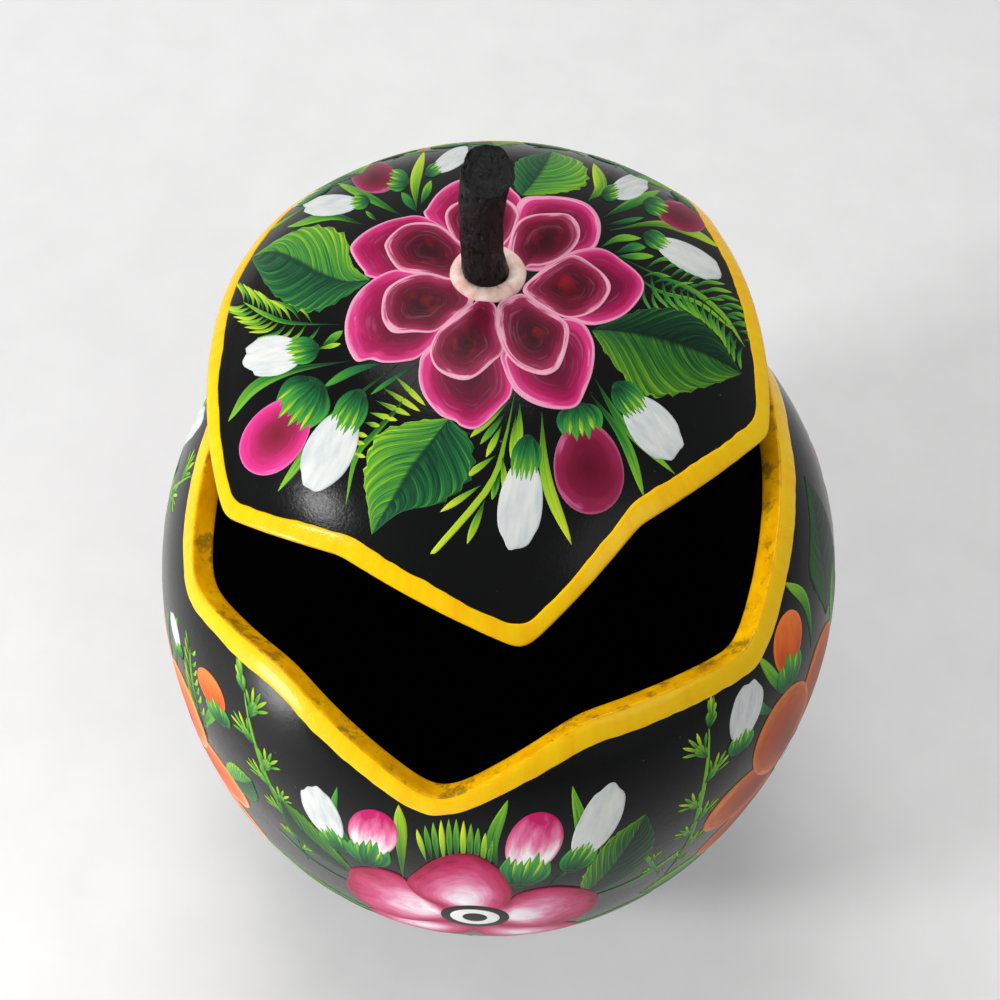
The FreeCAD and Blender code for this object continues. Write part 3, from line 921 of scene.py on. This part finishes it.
INNER = [
    ([(445, 217), (449, 207), (460, 201), (480, 196), (500, 197), (513, 203), (519, 213), (516, 224),
     (508, 240), (490, 255), (465, 250), (450, 232)], (482, 225)),
    ([(456, 238), (441, 226), (425, 222), (407, 224), (394, 232), (385, 243), (386, 251), (392, 262),
     (402, 271), (425, 274), (448, 279), (470, 275), (470, 250)], (428, 250)),
    ([(511, 236), (518, 222), (531, 215), (550, 213), (568, 214), (578, 223), (580, 236), (573, 249),
     (558, 260), (543, 265), (528, 266), (518, 272), (508, 255)], (545, 240)),
    ([(446, 277), (430, 273), (412, 275), (397, 281), (386, 290), (382, 303), (382, 318), (388, 329),
     (396, 333), (415, 332), (433, 332), (445, 325), (458, 314), (473, 303), (470, 285)], (425, 303)),
    ([(523, 291), (533, 277), (548, 266), (567, 256), (579, 256), (593, 265), (605, 275), (611, 286),
     (607, 298), (597, 309), (582, 316), (565, 317), (546, 308)], (568, 287)),
    ([(474, 303), (460, 313), (444, 325), (434, 338), (430, 353), (436, 368), (450, 377), (465, 380),
     (478, 375), (493, 362), (504, 350), (499, 330), (497, 308), (485, 298)], (467, 342)),
    ([(498, 305), (497, 325), (501, 343), (508, 356), (518, 366), (530, 372), (545, 375), (557, 370),
     (563, 360), (568, 343), (569, 328), (562, 318), (545, 308), (524, 294), (508, 298)], (532, 335))]
LID_LEAVES = [
    ([(370, 279), (345, 281), (318, 273), (295, 260), (272, 251), (250, 257)],
     [(370, 279), (352, 262), (345, 232), (316, 223), (284, 234), (250, 257)],
     [(370, 279), (352, 292), (320, 311), (295, 311), (270, 292), (250, 257)], "leaf"),
    ([(449, 418), (432, 441), (413, 467), (396, 495), (380, 520), (371, 535)],
     [(449, 418), (412, 420), (374, 434), (362, 472), (366, 503), (371, 535)],
     [(449, 418), (473, 441), (473, 478), (443, 503), (402, 512), (371, 535)], "leaf"),
    ([(592, 329), (625, 330), (660, 336), (690, 345), (716, 357), (743, 373)],
     [(592, 329), (612, 362), (642, 397), (676, 396), (712, 386), (743, 373)],
     [(592, 329), (620, 315), (655, 305), (690, 310), (718, 335), (743, 373)], "dark_leaf"),
    ([(522, 194), (530, 184), (538, 172), (546, 160), (552, 151)],
     [(522, 194), (560, 192), (588, 184), (585, 162), (552, 150)],
     [(522, 194), (514, 186), (513, 172), (518, 158), (552, 150)], "leaf")]
LID_MAROON_BUDS = [((409, 181), (351, 172), 34, 0.36, 4), ((644, 200), (706, 225), 28, 0.36, 4),
                   ((577, 402), (597, 514), 72, 0.3, 5)]
LID_WHITE_BUDS = [
    ((319, 347), (243, 360), 42, 0.4, 5), ((362, 389), (309, 487), 50, 0.4, 5),
    ((529, 434), (515, 551), 46, 0.36, 4), ((615, 382), (677, 455), 46, 0.38, 5),
    ((644, 232), (721, 274), 27, 0.3, 4), ((602, 195), (648, 180), 25, 0.36, 4),
    ((425, 174), (469, 148), 19, 0.32, 4), ((370, 200), (303, 207), 22, 0.3, 4)]
LID_STROKES = [
    ([(351, 360), (290, 370), (252, 388), (227, 421)], 11, "blade"),
    ([(385, 362), (352, 370), (322, 387)], 9, "teal"),
    ([(397, 364), (330, 417), (302, 457), (277, 491)], 10, "blade"),
    ([(419, 362), (390, 380), (370, 394)], 5, "teal"), ([(366, 225), (330, 215), (287, 226)], 8, "blade"),
    ([(402, 215), (370, 197), (337, 182)], 9, "blade"),
    ([(416, 207), (415, 180), (424, 150)], 11, "lime"), ([(420, 205), (431, 179)], 8, "blade"),
    ([(417, 211), (401, 191)], 9, "teal"), ([(377, 220), (365, 210)], 4, "blade"),
    ([(589, 199), (601, 185), (594, 162)], 13, "lime"),
    ([(602, 217), (632, 202), (661, 189)], 10, "blade"), ([(605, 224), (645, 216)], 5, "teal"),
    ([(610, 229), (657, 222), (695, 232), (720, 246)], 8, "lime"),
    ([(601, 246), (620, 237), (642, 237)], 7, "blade"), ([(615, 252), (632, 246), (647, 246)], 9, "teal"),
    ([(617, 255), (655, 255)], 7, "blade"), ([(542, 412), (547, 480), (572, 545)], 12, "lime"),
    ([(590, 392), (625, 440), (645, 497)], 10, "blade"),
    ([(595, 377), (625, 425), (676, 474)], 9, "blade"), ([(320, 347), (342, 330)], 8, "blade"),
    ([(317, 348), (340, 343)], 5, "lime")]
LID_DASHES = [
    ((394, 375), (425, 405), 6, "yellow"), ((382, 387), (420, 411), 6, "yellow"),
    ((375, 400), (410, 415), 6, "yellow"), ((369, 412), (397, 420), 6, "lime"),
    ((364, 422), (380, 426), 5, "yellow"), ((352, 432), (367, 436), 5, "lime"),
    ((350, 441), (365, 444), 5, "yellow"), ((347, 451), (365, 457), 5, "lime"),
    ((509, 401), (470, 437), 8, "lime"), ((506, 412), (480, 444), 7, "blade"),
    ((502, 425), (486, 457), 7, "lime"), ((496, 455), (462, 479), 7, "lime"),
    ((481, 485), (440, 512), 7, "yellow"), ((485, 500), (467, 544), 8, "lime"),
    ((502, 455), (506, 495), 7, "lime"), ((500, 470), (492, 500), 7, "blade"),
    ((516, 415), (512, 462), 8, "lime"), ((520, 402), (519, 457), 8, "lime")]

lid = Painting("lid", "lid", 11, seen_on_lid)
lid.petals("outer_petals", DARK_PETAL, OUTER, FLOWER_MIDDLE, 0.22, 72)
lid.petals("inner_petals", ROSE_PETAL, INNER, FLOWER_MIDDLE, 0.38, 72)
for middle, side_a, side_b, kind in LID_LEAVES:
    lid.coat(kind, LEAF if kind == "leaf" else DARK_LEAF).leaf(middle, side_a, side_b, MID)
lid.bud((320, 380), (247, 470), 60, 0.42, 6, PINK_BUD, "pink_bud", 0.30)
for bud in LID_MAROON_BUDS:
    lid.bud(*bud, MAROON_BUD, "maroon_buds", 0.20)
for bud in LID_WHITE_BUDS:
    lid.bud(*bud, WHITE, "white_buds", 0.20, ragged=True)
lid.blades(LID_STROKES)
lid.blades([([foot, tip], width, kind) for foot, tip, width, kind in LID_DASHES])
lid.blade([(417, 377), (397, 407), (375, 432), (355, 457), (345, 505)], 6, "blade")
lid.blade([(515, 392), (505, 440), (490, 485), (440, 545), (430, 554)], 7, "lime")
lid.sprig([(620, 256), (665, 277), (695, 290), (725, 315), (746, 346)], 5, 26, 30, "blade", 1.0, 0.13)
lid.sprig([(627, 268), (660, 290), (700, 302), (735, 330)], 4, 20, 24, "teal", 1.0, 0.13)
lid.sprig([(344, 324), (290, 322), (265, 314), (242, 301)], 5, 24, 27, "lime", 1.1, 0.13)
lid.finish()


# What the picture doesn't show of the lid's far side: buds and strokes like those in front, in millimetres

def far_side(side):
    side.bud((-12, 14), (-18, -6), 11, 0.45, 5, MAROON_BUD, "bud", 0.36)
    side.bud((8, 15), (12, -5), 9, 0.42, 5, WHITE, "white", 0.36, ragged=True)
    side.leaf(LEAF, (-1, 17), (-1, -10), [(0, 8), (0, -2)], [(-7, 10), (-7, 0)], [(7, 10), (7, 0)],
              kind="leaf")
    side.blades([([(-4, 16), (-9, 6), (-8, -8)], 2.2, "lime"),
                 ([(4, 16), (9, 8), (18, 0)], 2.2, "blade"),
                 ([(-10, 16), (-20, 10), (-25, 0)], 2.4, "blade"),
                 ([(12, 17), (20, 12), (26, 4)], 2.0, "lime")])


back = Painting("lid_back", "lid", 200)
for azimuth, polar in ((134, 47), (172, 45), (208, 47)):
    back.lay = laid_round(azimuth, polar)
    far_side(back)
back.finish()


# The bowl's painting: six flowers round it, in turn pink and orange, in millimetres round each flower's eye

PINK_PETALS = [
    ([(-9, -8), (-20, -12), (-28, -24), (-26, -36), (-16, -40), (-6, -34), (0, -20), (0, -8)],
     (-12, -22)),
    ([(9, -8), (20, -12), (28, -24), (27, -36), (17, -41), (7, -34), (1, -20), (0, -8)], (12, -22)),
    ([(-33, 8), (-32, 17), (-25, 25), (-19, 25), (-15, 18), (-7, 6), (-6, -6), (-11, -13), (-20, -21),
     (-29, -18), (-34, -4)], (-10, 1)),
    ([(7, 14), (10, 22), (18, 25), (27, 18), (31, 6), (29, -10), (20, -17), (11, -12), (5, -4),
     (4, 6)], (9, 2)),
    ([(-17, 22), (-15, 30), (-11, 39), (-6, 44), (-1, 44), (4, 38), (7, 29), (8, 20), (6, 10), (-1, 4),
     (-9, 7), (-15, 14)], (-3, 13))]
PINK_STROKES = [
    ([(-18, 23), (-20, 48), (-22, 62)], 3.4, "lime"), ([(4, 36), (2, 52), (5, 70)], 3.2, "blade"),
    ([(16, 24), (24, 48), (22, 76)], 4.0, "blade"), ([(-24, 22), (-38, 44), (-40, 62)], 2.8, "teal"),
    ([(26, 10), (42, 12), (58, 22)], 3.0, "blade"), ([(-33, 2), (-48, 4), (-60, 12)], 3.0, "teal"),
    ([(-10, -38), (-14, -52), (-24, -60)], 3.4, "blade"),
    ([(10, -38), (14, -52), (24, -60)], 3.4, "lime"), ([(0, -36), (0, -50), (4, -62)], 3.0, "teal")]


def pink_group(name, azimuth, polar, seed):
    side = Painting(name, "bowl", seed, laid_round(azimuth, polar))
    side.petals("petals", BODY_PETAL, PINK_PETALS, (0, 0), 0.14, 64)
    side.eye([(8.3, 11.4), (6.0, 7.8), (3.0, 4.2)], 0.26, 48)
    for foot, tip, width in (((-28, 24), (-27, 57), 14), ((9, 26), (14, 65), 14)):
        side.bud(foot, tip, width, 0.44, 5, SHADED_BUD, "pink_buds", 0.30)
    for foot, tip, width in (((-35, 26), (-48, 58), 13), ((21, 33), (34, 75), 12)):
        side.bud(foot, tip, width, 0.34, 5, WHITE, "white_buds", 0.24, ragged=True)
    for n in range(11):
        x = -16 + 1.8 * n
        tall = 47 + 13 * math.sin(math.pi * (n + 2) / 14)
        side.blade([(x * 0.8, 37), (x * 1.02, tall)], 1.5, ("lime", "blade", "blade")[n % 3])
    side.leaf(DARK_LEAF, (25, 10), (43, 58), [(32, 28), (38, 44)], [(25, 30), (31, 48)], [(41, 21), (46, 40)])
    side.leaf(DARK_LEAF, (-30, 12), (-58, 40), [(-40, 20), (-50, 28)], [(-38, 28), (-48, 38)],
              [(-44, 12), (-55, 22)])
    side.leaf(DARK_LEAF, (-22, -26), (-54, -30), [(-34, -32), (-44, -34)], [(-34, -24), (-46, -22)],
              [(-32, -40), (-46, -44)])
    side.leaf(DARK_LEAF, (24, -28), (55, -28), [(36, -34), (46, -34)], [(34, -24), (46, -22)],
              [(34, -42), (47, -44)])
    side.blades(PINK_STROKES)
    side.finish()


def orange_petal(turn):
    """One petal's outline and focus, turned round the eye."""
    a = math.radians(turn)
    far = np.array([19.0 * math.cos(a), 21.0 * math.sin(a)])
    across = np.array([-math.sin(a), math.cos(a)])
    outline = []
    for k in range(12):
        t = ROUND * k / 12
        wide = 13.5 * math.sin(t) * (0.85 + 0.2 * math.cos(t))
        outline.append(far * (0.98 + 0.92 * math.cos(t)) + across * wide)
    return outline, far * 0.75


def orange_group(name, azimuth, polar, seed, orange_bud, white_bud, petal=ORANGE_PETAL, turned=6, stalk=None,
                 by_the_bud=((14, 32), (18, 48), (22, 66)), tall_leaf=None):
    side = Painting(name, "bowl", seed, laid_round(azimuth, polar))
    petals = [orange_petal(turn + turned) for turn in (200, 340, 140, 40, 90, 270)]
    side.petals("petals", petal, petals, (0, 0), 0.14, 56)
    side.eye([(wide, wide * 1.15) for wide in (6.6, 4.7, 2.4)], 0.27, 44)
    side.bud(*orange_bud, 0.42, 5, ORANGE_BUD, "buds", 0.28)
    side.bud(*white_bud, 0.34, 4, WHITE, "white_buds", 0.24, ragged=True)
    for x in (1, -1):
        side.leaf(LEAF, (22 * x, -18), (52 * x, -28), [(33 * x, -26), (43 * x, -30)],
                  [(33 * x, -16), (44 * x, -18)], [(28 * x, -34), (42 * x, -42)])
    side.leaf(LEAF, (24, 20), (37, 41), [(30, 28), (34, 34)], [(25, 31), (29, 39)], [(34, 22), (39, 31)])
    if stalk:
        side.sprig(stalk, 1.4, 16, 6.5, "lime", 0.9, 0.15)
    if tall_leaf:
        side.leaf(SHADED_LEAF, *tall_leaf, kind="shaded_leaves")
    side.blades([([(-2, 34), (-5, 46), (-7, 60)], 3.2, "blade"),
                 (by_the_bud, 3.6, "blade"),
                 ([(-7, 34), (-12, 44), (-13, 50)], 3.0, "teal"),
                 ([(-10, -38), (-14, -52), (-24, -60)], 3.4, "blade"),
                 ([(10, -38), (14, -52), (24, -60)], 3.4, "lime"),
                 ([(0, -40), (0, -52), (4, -62)], 3.0, "teal")])
    side.finish()


pink_group("front_flower", 2.4, 92.6, 21)
# The right flower's petals are the darker copy of the orange ones: painted shade
orange_group("right_flower", 62, 83, 41, ((-2, 38), (6.8, 60), 13.5), ((-22, 37), (-12.6, 56), 12.5),
             SHADE_DARKENED_PETAL, 14, by_the_bud=((10.5, 38), (15, 54), (12.5, 67)),
             tall_leaf=((22, 36), (51, 76), [(34, 57), (46, 69)], [(21, 56), (35.5, 66)],
                        [(40, 35), (48, 52)]))
pink_group("right_back_flower", 126, 92, 61)
orange_group("back_flower", 184, 88, 81, ((8, 34), (11, 58), 12), ((-18, 34), (-24, 58), 10),
             stalk=[(-30, 16), (-40, 28), (-46, 42), (-48, 56)])
pink_group("left_back_flower", 242, 92, 101)
orange_group("left_flower", 300, 98, 121, ((24, 53), (12, 65.5), 16), ((1, 49), (-11, 55), 8),
             turned=-8, stalk=[(16, 30), (11, 42), (7, 51), (3, 62)])

# The stalks that stand between two flowers, two of them in one place, or one that leans the other way
TWO_STALKS = [([(-3, -30), (0, -8), (2, 12), (7, 38)], 9, 9.0),
              ([(-5, -28), (-8, -14), (-11, -2), (-14, 8)], 5, 6.0)]
ONE_STALK = [([(13, -28), (8, -6), (0, 10), (-12, 31)], 10, 9.0)]
SPRIG_POLAR = 74
sprigs = Painting("sprigs", "bowl", 141)
PLACES = ((37, TWO_STALKS), (153, TWO_STALKS), (214, ONE_STALK), (270, TWO_STALKS), (325, ONE_STALK))
for azimuth, stalks in PLACES:
    sprigs.lay = laid_round(azimuth, SPRIG_POLAR)
    for spine, count, size in stalks:
        sprigs.tall_sprig(spine, count, size)
sprigs.finish()


# The floor, the light and the camera

FLOOR_HALF = 6.0
FLOOR_GLOW = 0.06
ROOM_LIGHT = 0.25
ROOM_SEEN = 0.75


def seen_directly(tree):
    """1 for what the camera sees itself, in a reflection or through glass, else 0."""
    path = tree.nodes.new("ShaderNodeLightPath")
    seen = path.outputs["Is Camera Ray"]
    for ray in ("Is Glossy Ray", "Is Transmission Ray"):
        larger = tree.nodes.new("ShaderNodeMath")
        larger.operation = "MAXIMUM"
        tree.links.new(seen, larger.inputs[0])
        tree.links.new(path.outputs[ray], larger.inputs[1])
        seen = larger.outputs[0]
    return seen


def floor():
    mesh = bpy.data.meshes.new("floor")
    corners = [(x * FLOOR_HALF, y * FLOOR_HALF, 0) for x, y in ((-1, -1), (1, -1), (1, 1), (-1, 1))]
    mesh.from_pydata(corners, [], [(0, 1, 2, 3)])
    look = Look("pale_floor", 0.55, 0.2)
    shade = look.ramp(look.noise(look.place(), 40, 3), (0.3, "EAEAEA"), (0.7, "EFEFEF"))
    look.set(look.shader.inputs["Emission Color"], "FFFFFF")
    look.set(look.shader.inputs["Emission Strength"], look.times(seen_directly(look.tree), FLOOR_GLOW))
    mesh.materials.append(look.done(shade))
    piece = bpy.data.objects.new("floor", mesh)
    bpy.context.scene.collection.objects.link(piece)


def lamp(name, place, aim_height, size, power):
    data = bpy.data.lights.new(name, "AREA")
    data.shape = "DISK"
    data.size = size
    data.energy = power
    made = bpy.data.objects.new(name, data)
    made.location = place
    made.visible_camera = False
    made.rotation_euler = (Vector((0.0, 0.0, aim_height)) - Vector(place)).to_track_quat("-Z", "Y").to_euler()
    bpy.context.scene.collection.objects.link(made)


def world():
    made = bpy.data.worlds.new("soft_room")
    bpy.context.scene.world = made
    made.use_nodes = True
    tree = made.node_tree
    background = tree.nodes["Background"]
    strength = tree.nodes.new("ShaderNodeMapRange")
    strength.inputs["To Min"].default_value = ROOM_LIGHT
    strength.inputs["To Max"].default_value = ROOM_SEEN
    tree.links.new(seen_directly(tree), strength.inputs["Value"])
    tree.links.new(strength.outputs["Result"], background.inputs["Strength"])
    background.inputs["Color"].default_value = (1.0, 1.0, 1.0, 1.0)


def camera():
    data = bpy.data.cameras.new("camera")
    data.sensor_width = SENSOR
    data.lens = FOCAL_PIXELS * SENSOR / PICTURE
    data.clip_start = 0.01
    made = bpy.data.objects.new("camera", data)
    turn = Matrix(np.column_stack([EYE_RIGHT, EYE_UP, -EYE_FORWARD]).tolist()).to_4x4()
    made.matrix_world = Matrix.Translation(Vector((EYE + MIDDLE) * MM)) @ turn
    bpy.context.scene.collection.objects.link(made)
    bpy.context.scene.camera = made


floor()
world()
# Each lamp by its place, the height it aims at and its size, in metres, and by its power in watts
lamp("window", (-0.78, -0.38, 0.62), 0.12, 0.2, 4.6)
lamp("low_window", (-0.48, -0.34, 0.08), 0.15, 0.15, 1.4)
lamp("top", (-0.25, 0.55, 1.15), 0.12, 0.7, 6.5)
lamp("fill", (0.9, -0.7, 0.9), 0.12, 0.9, 3.7)
camera()

bpy.context.scene.view_settings.view_transform = "Standard"
bpy.context.view_layer.update()
